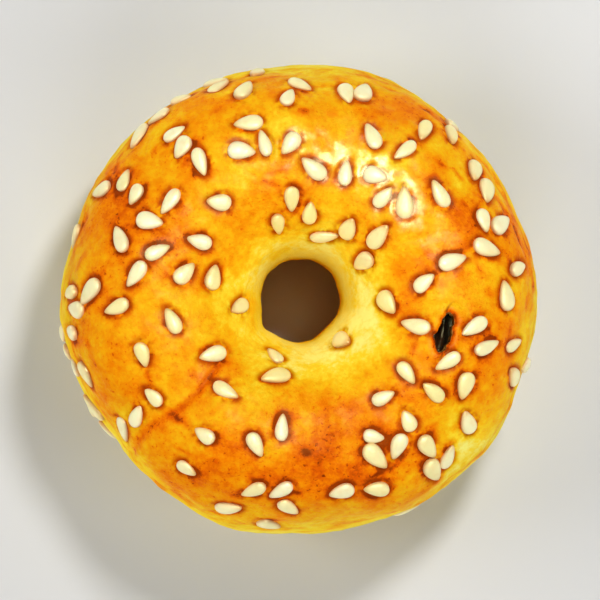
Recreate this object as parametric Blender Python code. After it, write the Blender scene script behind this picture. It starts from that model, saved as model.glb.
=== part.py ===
"""One round date maamoul: a rope of short dough round a core of date paste, closed into a ring, baked flat
on its underside, strewn with sesame seeds and split open in one place over the filling.

Metres, +Z up. The hole runs along Z at X = Y = 0 and the underside lies at Z = 0. An angle round the ring
is counted from +X towards +Y. An angle round the rope's section is 0 at the outermost side, a quarter turn
at the crown, half a turn beside the hole and three quarters at the underside.
"""

import math
import random

import bmesh
import bpy
import numpy as np
from mathutils import Matrix, Vector

# Driving dimensions of the ring
OUTER_DIAMETER = 0.055
HOLE_DIAMETER = 0.0096
HEIGHT = 0.023
WAIST_HEIGHT = 0.0102
BASE_CUT = 0.0012
MIDDLE_RADIUS = (OUTER_DIAMETER + HOLE_DIAMETER) / 4
HALF_WIDTH = (OUTER_DIAMETER - HOLE_DIAMETER) / 4

# Fullness of the section: 2 is an ellipse, more is boxier
CROWN_FULLNESS = 2.25
BASE_FULLNESS = 2.6

# Hand-made unevenness: (share of the size, turns round the ring, start angle)
WIDTH_WAVES = ((0.010, 2, 0.6), (0.008, 3, 2.1), (0.005, 5, 4.0))
CROWN_WAVES = ((0.016, 1, 1.2), (0.012, 3, 0.5), (0.008, 5, 2.6))
# Lumps of the outer side: (height, turns round the ring, turns round the section, start angle)
LUMPS = ((0.00020, 6, 2, 0.3), (0.00012, 10, -3, 1.7), (0.00007, 15, 4, 4.1), (0.00013, 4, 5, 2.2))

# Where the rope's two ends were pressed together
JOIN_ANGLE = math.radians(216)
JOIN_WIDTH = math.radians(14)
JOIN_NARROWING = 0.034
JOIN_DIP = 0.046

# The core of date paste, and the gap that keeps it free of the dough
PASTE_HALF_WIDTH = 0.0070
PASTE_HALF_HEIGHT = 0.0072
PASTE_MIDDLE_HEIGHT = 0.0123
PASTE_GAP = 0.0003

# The split in the crust, on the crown, lying nearly along the ring
SPLIT_ANGLE = math.radians(-14)
SPLIT_RADIUS = 0.0164
SPLIT_LENGTH = 0.0048
SPLIT_WIDTH = 0.0017
SPLIT_TURN = math.radians(4)
SPLIT_RAGGED = (0.0, 0.24, -0.18, 0.12, -0.2)
SPLIT_TAPER = 0.75
SPLIT_STEPS = 6
SPLIT_OVERSHOOT = 0.003

# Sesame seeds
SEED_LENGTH = 0.0035
SEED_WIDTH = 0.0020
SEED_THICKNESS = 0.00105
SEED_SUNK = 0.00010
SEED_POINTEDNESS = 0.38
SEED_COUNT = 116
SEED_DRAW = 1060
SEED_SIZES = (0.88, 1.12)
SEED_TILT = math.radians(7)
# A seed covers two round spots, one at each half; those of two seeds are at least this far apart
SEED_SPACING = 0.00165
SPLIT_CLEARANCE = 0.0022
# Share of spots taken by a seed, by angle round the section in degrees
SEED_SECTION_DEGREES = (-40, -10, 15, 35, 55, 120, 138, 150)
SEED_SECTION_SHARES = (0.0, 0.08, 0.3, 0.8, 1.0, 1.0, 0.6, 0.0)
# Corners of a seed's cross section: (share of its half width, share of its half thickness)
SEED_CORNERS = ((1.0, -0.1), (0.6, 0.85), (-0.6, 0.85), (-1.0, -0.1), (0.0, -1.0))
SEED_RINGS = 3
# Where along a seed, as a share of its half length, its first and last rings of corners lie
SEED_RING_REACH = 0.8
# The seeds on either side of the split: (metres along the ring, metres outwards, heading in degrees)
SEEDS_BY_SPLIT = ((-0.0001, -0.0029, 90), (0.0012, 0.0027, 130))

# Number of facets
RING_STEPS = 78
SECTION_STEPS = 30
PASTE_RING_STEPS = 40
PASTE_SECTION_STEPS = 12
# Step in radians for measuring how the surface slopes
SLOPE_STEP = 0.01
SHARP_ANGLE = math.radians(50)

DOUGH_COLOUR = (0.86, 0.45, 0.07, 1.0)
DOUGH_ROUGHNESS = 0.45
PASTE_COLOUR = (0.045, 0.014, 0.006, 1.0)
PASTE_ROUGHNESS = 0.35

TURN = 2 * math.pi


def clear_scene():
    for obj in list(bpy.data.objects):
        bpy.data.objects.remove(obj)


def material(name, colour, roughness):
    made = bpy.data.materials.new(name)
    made.use_nodes = True
    shader = made.node_tree.nodes["Principled BSDF"]
    shader.inputs["Base Color"].default_value = colour
    shader.inputs["Roughness"].default_value = roughness
    shader.inputs["Metallic"].default_value = 0.0
    return made


def waves(angle, terms):
    return sum(share * np.cos(turns * angle + start) for share, turns, start in terms)


def signed_power(value, exponent):
    return np.sign(value) * np.abs(value) ** exponent


def join_pinch(around):
    """1 where the rope's ends meet, falling to 0 on either side."""
    away = (around - JOIN_ANGLE + math.pi) % TURN - math.pi
    return np.exp(-((away / JOIN_WIDTH) ** 2))


def ring_point(around, section):
    """Points on the outside of the dough, as an array whose last axis is X, Y, Z."""
    across = np.cos(section)
    up = np.sin(section)
    pinch = join_pinch(around)
    half_width = HALF_WIDTH * (1 + waves(around, WIDTH_WAVES) - JOIN_NARROWING * pinch)
    crown = HEIGHT * (1 + waves(around, CROWN_WAVES) - JOIN_DIP * pinch)
    over_waist = (crown - WAIST_HEIGHT) * signed_power(up, 2 / CROWN_FULLNESS)
    under_waist = (WAIST_HEIGHT + BASE_CUT) * signed_power(up, 2 / BASE_FULLNESS)
    fullness = np.where(up > 0, CROWN_FULLNESS, BASE_FULLNESS)
    lump = sum(
        height * np.sin(turns * around + folds * section + start)
        for height, turns, folds, start in LUMPS
    )
    radius = MIDDLE_RADIUS + half_width * signed_power(across, 2 / fullness)
    lump = lump * radius / (OUTER_DIAMETER / 2)
    radius = radius + lump * across
    height = WAIST_HEIGHT + np.where(up > 0, over_waist, under_waist) + lump * up
    height = np.maximum(height, 0.0)
    return np.stack((radius * np.cos(around), radius * np.sin(around), height), axis=-1)


def paste_point(around, section, gap=0.0):
    """Points on the rope of date paste, or on the hollow round it when there is a gap."""
    pinch = join_pinch(around)
    radius = MIDDLE_RADIUS + (PASTE_HALF_WIDTH * (1 - JOIN_NARROWING * pinch) + gap) * np.cos(section)
    height = PASTE_MIDDLE_HEIGHT + (PASTE_HALF_HEIGHT * (1 - JOIN_DIP * pinch) + gap) * np.sin(section)
    return np.stack((radius * np.cos(around), radius * np.sin(around), height), axis=-1)


def placed(name, mesh_data, shader=None):
    obj = bpy.data.objects.new(name, mesh_data)
    if shader:
        obj.data.materials.append(shader)
    bpy.context.scene.collection.objects.link(obj)
    return obj


def mesh_of(name, bm):
    bmesh.ops.recalc_face_normals(bm, faces=bm.faces)
    made = bpy.data.meshes.new(name)
    bm.to_mesh(made)
    bm.free()
    return made


def closed_rope(name, point, ring_steps, section_steps):
    """A closed ring: one loop of points for each step round it, bridged to the next."""
    bm = bmesh.new()
    loops = []
    for step in range(ring_steps):
        around = TURN * step / ring_steps
        sections = TURN * np.arange(section_steps) / section_steps
        loops.append([bm.verts.new(place) for place in point(np.full(section_steps, around), sections)])
    for here, there in zip(loops, loops[1:] + loops[:1]):
        for side in range(section_steps):
            after = (side + 1) % section_steps
            bm.faces.new((here[side], there[side], there[after], here[after]))
    return mesh_of(name, bm)


def surface_axes(around, section):
    """A point of the surface, and the ways along the ring, round the section and out of the dough."""
    on_around = ring_point(around + SLOPE_STEP, section) - ring_point(around - SLOPE_STEP, section)
    on_section = ring_point(around, section + SLOPE_STEP) - ring_point(around, section - SLOPE_STEP)
    along = Vector(on_around).normalized()
    outward = along.cross(Vector(on_section)).normalized()
    return Vector(ring_point(around, section)), along, outward.cross(along), outward


def split_halves():
    """The middles of the split's two halves, on the crown."""
    ends = []
    for side in (-1, 1):
        around = SPLIT_ANGLE + side * SPLIT_LENGTH / 4 / SPLIT_RADIUS
        ends.append(Vector((SPLIT_RADIUS * math.cos(around), SPLIT_RADIUS * math.sin(around), HEIGHT)))
    return ends


def seed_halves(around, section, heading):
    """The middles of a seed's two halves, on the surface."""
    place, along, across, _ = surface_axes(around, section)
    reach = (along * math.cos(heading) + across * math.sin(heading)) * SEED_LENGTH / 4
    return [place + reach, place - reach]


def seed_spots():
    """(angle round the ring, angle round the section, heading, size) of each seed."""
    spots = []
    halves = []
    for along, outwards, heading in SEEDS_BY_SPLIT:
        around = SPLIT_ANGLE + along / SPLIT_RADIUS
        section = math.acos((SPLIT_RADIUS + outwards - MIDDLE_RADIUS) / HALF_WIDTH)
        spots.append((around, section, math.radians(heading), 1.0))
        halves += seed_halves(*spots[-1][:3])
    draw = random.Random(SEED_DRAW)
    lowest = math.radians(SEED_SECTION_DEGREES[0])
    highest = math.radians(SEED_SECTION_DEGREES[-1])
    while len(spots) < SEED_COUNT:
        around = draw.uniform(0, TURN)
        section = draw.uniform(lowest, highest)
        heading = draw.uniform(0, TURN)
        size = draw.uniform(*SEED_SIZES)
        luck = draw.random()
        pair = seed_halves(around, section, heading)
        share = np.interp(math.degrees(section), SEED_SECTION_DEGREES, SEED_SECTION_SHARES)
        if luck > share * pair[0].xy.length / (OUTER_DIAMETER / 2):
            continue
        if min((half - end).length for half in pair for end in split_halves()) < SPLIT_CLEARANCE:
            continue
        if min((half - other).length for half in pair for other in halves) < SEED_SPACING:
            continue
        spots.append((around, section, heading, size))
        halves += pair
    return spots


def seed_width_at(along):
    """Half width of a seed as a share of the widest, from its round end at -1 to its point at 1."""
    return math.sqrt(1 - along * along) * (1 - SEED_POINTEDNESS * along)


def seed_mesh():
    """A flat drop lying along X: a fan at each tip, and rings of corners between them."""
    bm = bmesh.new()
    tips = [bm.verts.new((side * SEED_LENGTH / 2, 0, 0)) for side in (-1, 1)]
    rings = []
    for ring in range(SEED_RINGS):
        along = SEED_RING_REACH * (2 * ring / (SEED_RINGS - 1) - 1)
        share = seed_width_at(along)
        places = []
        for wide, thick in SEED_CORNERS:
            width = share * SEED_WIDTH / 2 * wide
            thickness = share * SEED_THICKNESS / 2 * thick
            places.append(bm.verts.new((along * SEED_LENGTH / 2, width, thickness)))
        rings.append(places)
    for side in range(len(SEED_CORNERS)):
        after = (side + 1) % len(SEED_CORNERS)
        bm.faces.new((tips[0], rings[0][side], rings[0][after]))
        bm.faces.new((tips[1], rings[-1][after], rings[-1][side]))
        for here, there in zip(rings, rings[1:]):
            bm.faces.new((here[side], there[side], there[after], here[after]))
    return mesh_of("sesame_seed", bm)


def lay_seeds(collection):
    """One object for each seed, sunk a little into the dough."""
    shape = seed_mesh()
    tilts = random.Random(SEED_DRAW + 1)
    for number, (around, section, heading, size) in enumerate(seed_spots()):
        place, along, across, outward = surface_axes(around, section)
        axes = Matrix((along, across, outward)).transposed().to_4x4()
        tilt = Matrix.Rotation(tilts.uniform(-SEED_TILT, SEED_TILT), 4, "Y")
        stand = Matrix.Translation(place - outward * SEED_SUNK)
        seed = bpy.data.objects.new(f"seed_{number:03d}", shape)
        seed.matrix_world = stand @ axes @ Matrix.Rotation(heading, 4, "Z") @ tilt @ Matrix.Scale(size, 4)
        collection.objects.link(seed)


def split_cutter():
    """The ragged slit, as a prism that narrows downwards from over the crown into the hollow."""
    bm = bmesh.new()
    count = 2 * SPLIT_STEPS
    rings = []
    for height, narrowing in ((HEIGHT + SPLIT_OVERSHOOT, 1.0), (PASTE_MIDDLE_HEIGHT, SPLIT_TAPER)):
        ring = []
        for step in range(count):
            turned = TURN * step / count
            ragged = 1 + SPLIT_RAGGED[step % len(SPLIT_RAGGED)]
            across = narrowing * ragged * SPLIT_WIDTH / 2 * math.sin(turned)
            ring.append(bm.verts.new((across, SPLIT_LENGTH / 2 * math.cos(turned), height)))
        rings.append(ring)
    for step in range(count):
        after = (step + 1) % count
        bm.faces.new((rings[0][step], rings[1][step], rings[1][after], rings[0][after]))
    bm.faces.new(rings[0])
    bm.faces.new(rings[1])
    cutter = placed("split_cutter", mesh_of("split_cutter", bm))
    outwards = Matrix.Rotation(SPLIT_ANGLE, 4, "Z") @ Matrix.Translation((SPLIT_RADIUS, 0, 0))
    cutter.matrix_world = outwards @ Matrix.Rotation(SPLIT_TURN, 4, "Z")
    return cutter


def apply_boolean(obj, operation, other):
    """Joins or cuts obj by an object or by a whole collection, then removes what it used."""
    change = obj.modifiers.new(operation.title(), "BOOLEAN")
    change.operation = operation
    change.solver = "EXACT"
    if isinstance(other, bpy.types.Collection):
        change.operand_type = "COLLECTION"
        change.collection = other
        used = list(other.objects)
    else:
        change.object = other
        used = [other]
    bpy.context.view_layer.update()
    graph = bpy.context.evaluated_depsgraph_get()
    result = bpy.data.meshes.new_from_object(obj.evaluated_get(graph))
    obj.modifiers.clear()
    obj.data = result
    for helper in used:
        bpy.data.objects.remove(helper)


def shade(obj):
    obj.data.shade_smooth()
    obj.data.set_sharp_from_angle(angle=SHARP_ANGLE)


def make_dough():
    """The ring of dough with its seeds, hollowed for the paste and split over it."""
    shader = material("golden_dough", DOUGH_COLOUR, DOUGH_ROUGHNESS)
    dough = placed("dough_ring", closed_rope("dough_ring", ring_point, RING_STEPS, SECTION_STEPS), shader)
    seeds = bpy.data.collections.new("seeds")
    bpy.context.scene.collection.children.link(seeds)
    lay_seeds(seeds)
    apply_boolean(dough, "UNION", seeds)
    bpy.data.collections.remove(seeds)

    def hollow_point(around, section):
        return paste_point(around, section, PASTE_GAP)

    hollow = placed("hollow", closed_rope("hollow", hollow_point, PASTE_RING_STEPS, PASTE_SECTION_STEPS))
    apply_boolean(dough, "DIFFERENCE", hollow)
    apply_boolean(dough, "DIFFERENCE", split_cutter())
    shade(dough)
    return dough


def make_paste():
    shader = material("date_paste", PASTE_COLOUR, PASTE_ROUGHNESS)
    mesh_data = closed_rope("date_filling", paste_point, PASTE_RING_STEPS, PASTE_SECTION_STEPS)
    paste = placed("date_filling", mesh_data, shader)
    shade(paste)
    return paste


clear_scene()
make_dough()
make_paste()
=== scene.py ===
"""Looks of one round date maamoul: glazed short dough, sesame seeds, and the date paste in its split.

Metres, +Z up, in the frame of the solids. The hole runs along Z at X = Y = 0 and the underside lies at Z = 0.
An angle round the ring is counted from +X towards +Y. An angle round the rope's section is 0 at the outermost
side, a quarter turn at the crown, half a turn beside the hole and three quarters at the underside.
"""

import math
import random

import bmesh
import bpy
import numpy as np
from mathutils import Matrix, Vector, noise


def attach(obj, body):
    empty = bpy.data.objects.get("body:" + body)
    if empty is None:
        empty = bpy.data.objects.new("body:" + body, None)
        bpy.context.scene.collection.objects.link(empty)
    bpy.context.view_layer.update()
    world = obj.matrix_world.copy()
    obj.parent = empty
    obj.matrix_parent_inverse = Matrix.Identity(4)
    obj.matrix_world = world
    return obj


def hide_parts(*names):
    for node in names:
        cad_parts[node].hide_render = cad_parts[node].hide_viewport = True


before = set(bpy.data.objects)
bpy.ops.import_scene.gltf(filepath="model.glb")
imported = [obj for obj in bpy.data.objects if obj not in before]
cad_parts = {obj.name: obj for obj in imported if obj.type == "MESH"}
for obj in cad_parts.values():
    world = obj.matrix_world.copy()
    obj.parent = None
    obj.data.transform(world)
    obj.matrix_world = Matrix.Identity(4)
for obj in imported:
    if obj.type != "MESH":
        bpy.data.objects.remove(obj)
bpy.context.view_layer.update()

TURN = 2 * math.pi
MM = 0.001

# The ring, its unevenness, the join, the paste, the split and the seeds are those of the solids
OUTER_DIAMETER = 0.055
HOLE_DIAMETER = 0.0096
HEIGHT = 0.023
WAIST_HEIGHT = 0.0102
BASE_CUT = 0.0012
MIDDLE_RADIUS = (OUTER_DIAMETER + HOLE_DIAMETER) / 4
HALF_WIDTH = (OUTER_DIAMETER - HOLE_DIAMETER) / 4
CROWN_FULLNESS = 2.25
BASE_FULLNESS = 2.6
WIDTH_WAVES = ((0.010, 2, 0.6), (0.008, 3, 2.1), (0.005, 5, 4.0))
CROWN_WAVES = ((0.016, 1, 1.2), (0.012, 3, 0.5), (0.008, 5, 2.6))
LUMPS = ((0.00020, 6, 2, 0.3), (0.00012, 10, -3, 1.7), (0.00007, 15, 4, 4.1), (0.00013, 4, 5, 2.2))
JOIN_ANGLE = math.radians(216)
JOIN_WIDTH = math.radians(14)
JOIN_NARROWING = 0.034
JOIN_DIP = 0.046

PASTE_HALF_WIDTH = 0.0070
PASTE_HALF_HEIGHT = 0.0072
PASTE_MIDDLE_HEIGHT = 0.0123
PASTE_GAP = 0.0003

SPLIT_ANGLE = math.radians(-14)
SPLIT_RADIUS = 0.0164
SPLIT_LENGTH = 0.0048
SPLIT_WIDTH = 0.0017
SPLIT_HEADING = SPLIT_ANGLE + math.radians(4)
SPLIT_MIDDLE = SPLIT_RADIUS * np.array((math.cos(SPLIT_ANGLE), math.sin(SPLIT_ANGLE)))

SEED_LENGTH = 0.0035
SEED_WIDTH = 0.0020
SEED_THICKNESS = 0.00105
SEED_SUNK = 0.00010
SEED_POINTEDNESS = 0.38
SEED_COUNT = 116
SEED_DRAW = 1060
SEED_SIZES = (0.88, 1.12)
SEED_TILT = math.radians(7)
SEED_SPACING = 0.00165
SPLIT_CLEARANCE = 0.0022
SLOPE_STEP = 0.01
SEED_SECTION_DEGREES = (-40, -10, 15, 35, 55, 120, 138, 150)
SEED_SECTION_SHARES = (0.0, 0.08, 0.3, 0.8, 1.0, 1.0, 0.6, 0.0)
SEEDS_BY_SPLIT = ((-0.0001, -0.0029, 90), (0.0012, 0.0027, 130))

# The dough's mesh: steps round the ring, and (degrees round the section, steps) from one place to the next
RING_STEPS = 480
SECTION_START = -75
SECTION_SPANS = ((-20, 24), (165, 140), (285, 24))
# The window of the mesh that the split's own rings fill: steps each way from its middle
WINDOW_AROUND = 19
WINDOW_SECTION = 11
SPLIT_RINGS = 20
WALL_RINGS = 10
SPLIT_EDGE_STEPS = 90
SEED_OUTLINE_STEPS = 28
HOLLOW_RING_STEPS = 72
HOLLOW_SECTION_STEPS = 20
HOLLOW_WINDOW = (2, 1)
PASTE_RING_START = math.degrees(SPLIT_ANGLE) - 12
PASTE_RING_SPANS = ((-2, 60), (334, 56))
PASTE_SECTION_START = -90
PASTE_SECTION_SPANS = ((55, 28), (125, 60), (270, 28))
SEED_SIDES = 14
SEED_RINGS = 19
NORMAL_STEP = 0.004
# The crown between these angles round the section is searched by so many halvings
CROWN_DEGREES = (30, 150)
HALVINGS = 40
# Distances from the seeds and the split are worked out within a reach, and set to a far one beyond it
SEED_REACH = 0.0038
SPLIT_REACH = 0.006
FAR_FROM_SEEDS = 0.01
FAR_FROM_SPLIT = 0.05

# Smooth noise: how its start moves with each seed, how much its finer lumps count, and how much finer each is
NOISE_SHIFTS = (1.73, 0.57, 1.19)
NOISE_ROUGHNESS = 0.9
NOISE_FINENESS = 2.0
NOISE_OCTAVES = 3
NOISE_FEW_OCTAVES = 2

# Relief of the baked surface, in metres. Swells: (height, size, seed of the noise)
SWELLS = ((0.00016, 0.0075, 3), (0.00012, 0.0026, 8), (0.00004, 0.0011, 9))
SEED_MOAT = 0.00011
SEED_MOAT_WIDTH = 0.00038
BASE_ROUNDING = 0.0004
UNDERSIDE_FADE = (0.0002, 0.0028)
# The lap's seam wanders along the ring: (angle, waves round the section, start of the wave)
LAP_BENDS = ((0.10, 1.3, 0.4), (0.03, 5, 0))
LAP_DEPTH = 0.00030
LAP_WIDTH = 0.00045
LAP_STEP = 0.00016
LAP_STEP_FRONT = 0.0002
LAP_STEP_BACK = 0.003
LAP_FADE = (-0.75, -0.1)
WRINKLE_DEPTH = 0.00014
WRINKLE_WIDTH = 0.00036
WRINKLE_WANDER = 0.05
WRINKLE_WANDER_NOISE = (0.0022, 21, NOISE_FEW_OCTAVES)
WRINKLE_BREAK_NOISE = (0.0030, 22, NOISE_FEW_OCTAVES)
WRINKLE_BREAK = (-0.45, 0.15)
WRINKLE_FADE = 0.2
# Creases of the outer shoulder: (start and end round the ring, start and end round the section) in degrees
WRINKLES = (
    (74, 46, 24, 35),
    (58, 22, 31, 22),
    (40, 8, 38, 30),
    (16, -4, 26, 34),
    (-20, -44, 22, 14),
    (120, 98, 26, 18),
    (166, 140, 20, 30),
    (252, 228, 26, 16),
)
# Small smears of the shoulder: lowest, highest and likeliest degrees round the section, and their sizes
SCORCH_DRAW = 5
SCORCH_COUNT = 80
SCORCH_DEGREES = (12, 125, 30)
SCORCH_LENGTHS = (0.0010, 0.0030)
SCORCH_WIDTHS = (0.0005, 0.0011)
SCORCH_SLANT = 0.5
SCORCH_SHARES = (0.4, 1.0)
SCORCH_BROWN = 0.40
WRINKLE_BROWN = 0.30
# Marks along one side of some seeds: glaze that pooled and caramelised, with a painted shadow of the seed
POOL_AND_SHADOW_SHARE = 0.60
POOL_AND_SHADOW_LENGTHS = (0.0008, 0.0014)
POOL_AND_SHADOW_WIDTHS = (0.00028, 0.00050)
POOL_AND_SHADOW_SHIFT = 0.3
POOL_AND_SHADOW_SIDE = 0.45
POOL_AND_SHADOW_SHARES = (0.5, 1.0)
POOL_AND_SHADOW_REACH = 0.0045
POOL_AND_SHADOW_BROWN = 0.62
TEAR_LENGTH = 0.0016
TEAR_WIDTH = 0.00012
TEAR_DEPTH = 0.00022
TEAR_SWAY = 0.00025
TEAR_SWAY_LENGTH = 0.0006
TEAR_LEAN = 0.35
TEAR_START = (-0.0003, 0.0001)
LIP_RISE = 0.00012
LIP_BACK = 0.0007
LIP_WIDTH = 0.00055
LIP_ROLL = 0.00024
LIP_ROLL_WIDTH = 0.00016
# The torn edge: (share, waves round the edge, start of the wave)
SPLIT_BULGE = (0.16, 3, 0.6)
SPLIT_TEETH = ((0.10, 7, 2), (0.07, 13, 0.5))
SPLIT_END_WAVE = (0.02, 5, 0)
SPLIT_FULLNESS = 1.06
SPLIT_SWAY = 0.00022
SPLIT_SWAY_TURNS = 2.2
SPLIT_SWAY_START = 0.5
SPLIT_CROWDING = 1.6
TORN_DEPTH = 0.00035
TORN_SIZE = 0.0009
TORN_DRAW = 51
PASTE_RISE = 0.0013
PASTE_RISE_LENGTH = 0.0017
PASTE_RISE_WIDTH = 0.00042
PASTE_ROUGH = 0.00012
PASTE_ROUGH_SIZE = 0.0011
PASTE_ROUGH_SUNK = 0.8
PASTE_ROUGH_DRAW = 61

# The seeds' own form: shares of the plain seed's length, width and thickness, and a bend as a share of
# the length
SEED_FLATNESS = 0.8
SEED_EDGE_FLATNESS = 0.7
SEED_TIP_SPAN = (0.45, 1.0)
# Painted shade down each seed's sides fades in between these heights, as shares of half the thickness counted
# downwards
SEED_MARGIN_SHADE_SPAN = (-0.85, 0.1)
SEED_LOOKS = 7
SEED_SHARES_DRAW = 334
SEED_LENGTHS = (0.80, 1.03)
SEED_WIDTHS = (0.76, 0.97)
SEED_THICKNESSES = (0.85, 1.12)
SEED_BEND = 0.14
# How toasted they are: the two shapes of the random rule. Between these radii on the slope to the hole,
# painted shade is added: seeds there turn yellower, as in shade lit by the yellow dough.
SEED_TOAST = (1.6, 3.2)
SEED_SLOPE_RADII = (0.0135, 0.0095)
SEED_SLOPE_SHADE = 0.45

# How brown the crust is, from 0 for pale to 1 for burnt, by angle round the section in degrees. The
# near-burnt shares from 186 to 236 degrees, down the hole's wall below the waist, are painted shade that
# darkens the hole, with some real browning near the underside.
BROWNING_DEGREES = (
    -90, -66, -59, -52, -45, -36, -8, 8, 20, 32,
    60, 92, 112, 128, 146, 168, 186, 206, 236, 270,
)
BROWNING_AND_HOLE_SHADE_SHARES = (
    0.60, 0.66, 0.80, 0.52, 0.26, 0.13, 0.09, 0.17, 0.33, 0.47,
    0.55, 0.51, 0.42, 0.25, 0.13, 0.12, 0.50, 1.00, 0.92, 0.62,
)
# Its unevenness: (share, size in metres, seed of the noise)
BROWNING_NOISE = ((0.20, 0.009, 11), (0.13, 0.004, 12))
BROWNING_BY_HEIGHT = 250
PALE_PATCHINESS = 0.4
# Patches: (angle round the ring, angle round the section, size in metres, share). The pale patches at 61 and
# 105 degrees round the ring lie under the gleam and paint a highlight there.
BROWN_AND_HIGHLIGHT_PATCHES = (
    (-100, 34, 0.0080, 0.07),
    (-78, 88, 0.0070, 0.32),
    (-55, 126, 0.0060, -0.22),
    (-44, 36, 0.0050, -0.20),
    (-14, 66, 0.0045, 0.26),
    (-12, 34, 0.0040, -0.18),
    (15, 118, 0.0055, 0.16),
    (14, 30, 0.0040, 0.10),
    (25, 68, 0.0030, 0.22),
    (45, 62, 0.0045, -0.12),
    (61, 84, 0.0042, -0.18),
    (76, 38, 0.0050, -0.07),
    (92, 104, 0.0035, 0.08),
    (95, 20, 0.0050, -0.14),
    (105, 88, 0.0045, -0.10),
    (128, 118, 0.0030, 0.18),
    (135, 38, 0.0050, -0.08),
    (152, 45, 0.0090, 0.14),
)
GLAZE_OUTSIDE = (10, 28)
GLAZE_INSIDE = (-166, -142)
GLAZE_WANDER = 8
GLAZE_WANDER_SIZE = 0.0045
GLAZE_WANDER_DRAW = 31
SHINE_OUTSIDE = (36, 66)
SHINE_INSIDE = (94, 120)
SHINE_LOST_INSIDE = 0.75
SHINE_ANGLE = math.radians(63)
SHINE_REACH = math.radians(24)
SHINE_ELSEWHERE = 0.03
GLAZE_EDGE_MIDDLE = 17
GLAZE_EDGE_WIDTH = 9
GLAZE_EDGE_BROWN = 0.30
FLECK_SIZE = 0.0026
FLECK_FLATTENING = (1, 1, 2)
FLECK_SPAN = (-0.15, 0.55)
FLECK_DRAW = 41
LAP_BROWN = 0.25
LAP_BROWN_WIDTH = 0.00054
LIP_BROWN = 0.35
LIP_BROWN_WIDTH = 0.0004
# Halos round the seeds: browning with painted contact shade
HALO_SHADE_WIDTH = 0.00046
HALO_BROWN_AND_SHADE = 0.40
HALO_SHADE_SHARE = 0.78

# Colours, linear
CRUST_COLOURS = (
    (0.00, (0.99, 0.88, 0.20)),
    (0.20, (0.97, 0.69, 0.028)),
    (0.38, (0.94, 0.50, 0.007)),
    (0.55, (0.92, 0.34, 0.003)),
    (0.70, (0.88, 0.21, 0.001)),
    (0.85, (0.74, 0.105, 0.001)),
    (1.00, (0.26, 0.030, 0.001)),
)
# Halos round the seeds: browning with painted contact shade
HALO_BROWN_AND_SHADE_COLOUR = (0.36, 0.048, 0.001)
# Painted shade in the hairline cracks
CRACK_SHADE_COLOUR = (0.34, 0.055, 0.003)
CRUMB_COLOUR = (0.62, 0.34, 0.075)
CRUMB_DARK_COLOUR = (0.30, 0.12, 0.022)
SEED_COLOUR = (0.98, 0.91, 0.56)
# Toasted seeds, and seeds in painted shade on the slope to the hole
SEED_TOAST_AND_SHADE_COLOUR = (0.96, 0.81, 0.30)
SEED_TAN_COLOUR = (0.86, 0.61, 0.20)
# Painted shade on the seeds' lower sides
SEED_MARGIN_SHADE_COLOUR = (0.62, 0.22, 0.04)
PASTE_COLOUR = (0.020, 0.006, 0.003)
PASTE_FIBRE_COLOUR = (0.075, 0.022, 0.009)

# The materials' noise: (size in metres, detail, roughness). A span takes values from low to high to another
# low and high, or to 0 and 1.
MOTTLE_NOISE = (0.0032, 4, 0.58)
MOTTLE_SHARE = 0.50
MOTTLE_BY_GLAZE = (0.0, 0.8, 0.30, 1.0)
SPECKLE_NOISE = (0.0011, 4, 0.65)
SPECKLE_SHARE = 0.30
FRECKLE_NOISE = (0.00042, 2)
FRECKLE_SPAN = (0.60, 0.74)
FRECKLES_BY_BROWN = (0.15, 0.7, 0.02, 0.20)
FINE_NOISE = (0.00075, 4, 0.65)
FINE_SPAN = (0.40, 0.60, -0.045, 0.045)
FINE_BY_GLAZE = (0.0, 0.8, 0.25, 1.0)
# Noise that breaks up the seeds' halos of browning and painted shade, and how they keep to the glaze
HALO_SHADE_NOISE_SIZE = 0.0016
HALO_SHADE_SPAN = (0.36, 0.54, 0.12, 1.0)
HALO_SHADE_BY_GLAZE = (0, 1, 0.3, 1.0)
# How far the hairline cracks mix towards their painted shade
CRACK_SHADE_SHARE = 0.9
CRUMB_NOISE = (0.0006, 3)
CRUMB_SPAN = (0.35, 0.65)
INSIDE_SPAN = (0.0, 0.6)
CRUST_ROUGH_NOISE = (0.0009, 2)
CRUST_ROUGH_SHARE = 0.16
ROUGHNESS_BY_GLAZE = (0, 1, 0.64, 0.44)
CRUST_BUMPS = (((0.0021, 2), 0.00030, 0.30), ((0.00085, 3, 0.6), 0.00024, 0.60))
PORE_NOISE = (0.00038, 2)
PORE_SPAN = (0.30, 0.50)
PORE_DEPTH = 0.00006
PORE_STRENGTH = 0.5
NET_SIZE = 0.0023
NET_SPAN = (0.0, 0.10)
NET_DEPTH = 0.00003
NET_STRENGTH = 0.35
SHINE_NOISE = (0.0019, 3, 0.6)
SHINE_SPAN = (0.42, 0.60, 0.12, 0.85)
SEED_PATCH_NOISE = (0.0009, 3)
SEED_PATCH_SPAN = (0.45, 0.75, 0.0, 0.25)
TIP_BY_TOAST = (0, 0.7, 0.35, 0.85)
# How far the seeds' lower sides mix towards their painted shade
MARGIN_SHADE_SHARE = 0.72
SEED_ROUGH_SIZE = 0.0004
SEED_ROUGH_SPAN = (0.3, 0.7, 0.36, 0.5)
SEED_BUMPS = (((0.0009, 2), 0.00016, 0.4), ((0.00022, 2), 0.00004, 0.5))
FIBRE_NOISE = (0.0008, 4, 0.6)
FIBRE_SPAN = (0.35, 0.72)
WET_SIZE = 0.0012
WET_SPAN = (0.3, 0.7, 0.28, 0.46)
PASTE_BUMPS = (((0.0005, 4, 0.6), 0.00025, 0.7),)

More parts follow.
